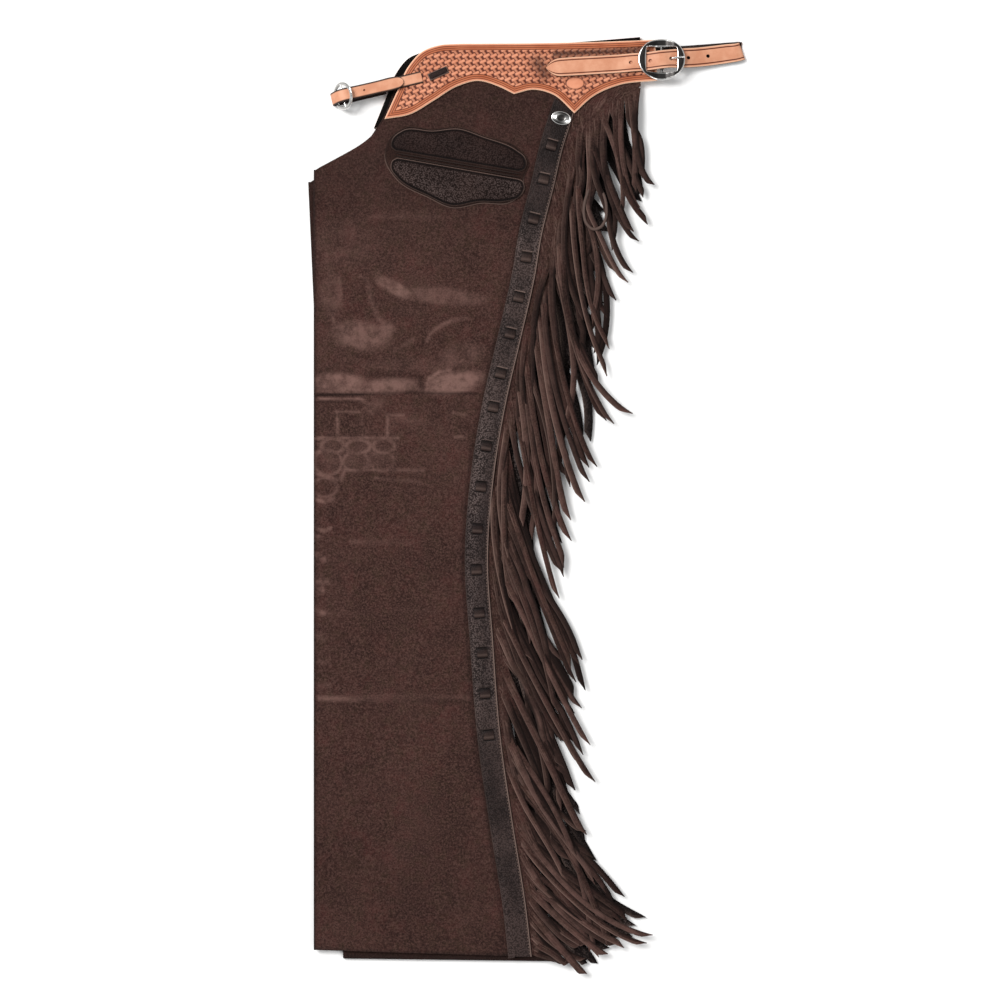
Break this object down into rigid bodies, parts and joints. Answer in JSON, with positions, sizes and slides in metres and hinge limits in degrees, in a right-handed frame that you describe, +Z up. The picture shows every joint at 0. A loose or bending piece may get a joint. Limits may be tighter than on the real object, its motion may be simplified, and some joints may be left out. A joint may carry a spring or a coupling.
{
  "type": "leather chaps",
  "caption": "Western fringed suede chaps laid flat, near leg on far leg, with stamped yoke, pocket, laced trim strip, concho, and buckled front and back straps.",
  "frame": {"origin": "centre of the bounding box, on the surface that the chaps lie on", "axes": "+X from the front folds to the fringed back seams, +Y from the hem to the waist, +Z up from the surface"},
  "size_m": [0.4966, 1.0706, 0.027],
  "materials": {
    "suede": "napped",
    "dark_leather": "satin",
    "grained_leather": "pebbled",
    "tan_leather": "satin",
    "nickel": "polished"
  },
  "bodies": {
    "root": {"back_billet": "tan_leather", "back_buckle_frame": "nickel", "back_buckle_tongue": "nickel", "back_chape": "tan_leather", "concho": "nickel", "fringe_far": "suede", "fringe_near": "suede", "front_billet": "tan_leather", "front_buckle_frame": "nickel", "front_chape": "tan_leather", "lace_01": "dark_leather", "lace_02": "dark_leather", "lace_03": "dark_leather", "lace_04": "dark_leather", "lace_05": "dark_leather", "lace_06": "dark_leather", "lace_07": "dark_leather", "lace_08": "dark_leather", "lace_09": "dark_leather", "lace_10": "dark_leather", "lace_11": "dark_leather", "lace_12": "dark_leather", "lace_13": "dark_leather", "lace_14": "dark_leather", "lace_15": "dark_leather", "lace_16": "dark_leather", "leg_far": "suede", "leg_near": "suede", "pocket_base": "dark_leather", "pocket_lower": "grained_leather", "pocket_upper": "dark_leather", "pocket_welt_lower": "dark_leather", "pocket_welt_upper": "dark_leather", "trim_strip": "grained_leather", "yoke_far": "tan_leather", "yoke_lining_far": "dark_leather", "yoke_near": "tan_leather", "yoke_tab": "dark_leather"}
  },
  "joints": []
}
